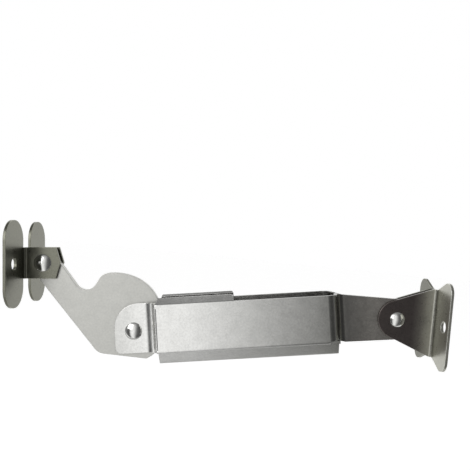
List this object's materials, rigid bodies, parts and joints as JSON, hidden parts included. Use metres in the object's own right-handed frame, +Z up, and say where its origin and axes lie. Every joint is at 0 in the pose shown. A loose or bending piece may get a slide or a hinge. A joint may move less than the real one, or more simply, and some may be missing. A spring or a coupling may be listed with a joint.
{
  "type": "lid stay",
  "caption": "Folded steel lid stay with a cam lever at one end, a spring housing with an open top, and a pair of screw wings at each end.",
  "frame": {"origin": "the middle of the cabinet bracket's row of two screw holes, on the face that lies against the cabinet side", "axes": "+X out of that face into the cabinet side, +Y across the stay along the screw row, +Z up; the housing lies towards -X and dips by 8.85 degrees"},
  "size_m": [0.2407, 0.056, 0.0733],
  "materials": {
    "housing_plate": "satin nickel plate on folded sheet",
    "lever_plate": "satin nickel plate with a faint mottle",
    "bracket_plate": "satin nickel plate, warmer and darker",
    "rivet_steel": "polished nickel plate",
    "slider_steel": "plain steel, oiled",
    "spring_steel": "drawn spring wire"
  },
  "bodies": {
    "cabinet_bracket": {"cabinet_plate_front": "bracket_plate", "cabinet_plate_rear": "bracket_plate", "cabinet_rivet": "rivet_steel"},
    "housing": {"front_shell": "housing_plate", "rear_shell": "housing_plate", "lever_rivet": "rivet_steel", "spring_seat": "slider_steel", "main_spring": "spring_steel"},
    "lever": {"cam_lever": "lever_plate"},
    "flap_bracket": {"flap_plate_front": "bracket_plate", "flap_plate_rear": "bracket_plate", "flap_rivet": "rivet_steel"},
    "slider": {"slide_block": "slider_steel", "roller_pin": "slider_steel"},
    "roller": {"cam_roller": "slider_steel"}
  },
  "joints": [
    {"name": "cabinet_pivot", "type": "hinge", "parent": "cabinet_bracket", "child": "housing", "pos_m": [-0.0223, 0, 0], "axis": [0, 1, 0], "range_deg": [-75, 90]},
    {"name": "lever_pivot", "type": "hinge", "parent": "housing", "child": "lever", "pos_m": [-0.17122, 0, -0.02116], "axis": [0, 1, 0], "range_deg": [0, 108], "stiffness_Nm_per_rad": 0.6, "springref_deg": -68.75},
    {"name": "flap_pivot", "type": "hinge", "parent": "lever", "child": "flap_bracket", "pos_m": [-0.22659, 0, 0.01231], "axis": [0, 1, 0], "range_deg": [-75, 35]},
    {"name": "block_slide", "type": "slide", "parent": "housing", "child": "slider", "axis": [0.9881, 0, 0.1538], "range_m": [0, 0.0238], "deforming": ["main_spring"]},
    {"name": "roller_spin", "type": "hinge", "parent": "slider", "child": "roller", "pos_m": [-0.15442, 0, -0.01855], "axis": [0, 1, 0], "continuous": true}
  ],
  "couplings": [
    {"joint": "block_slide", "follows": "lever_pivot", "m_per_rad": 0.0126}
  ]
}
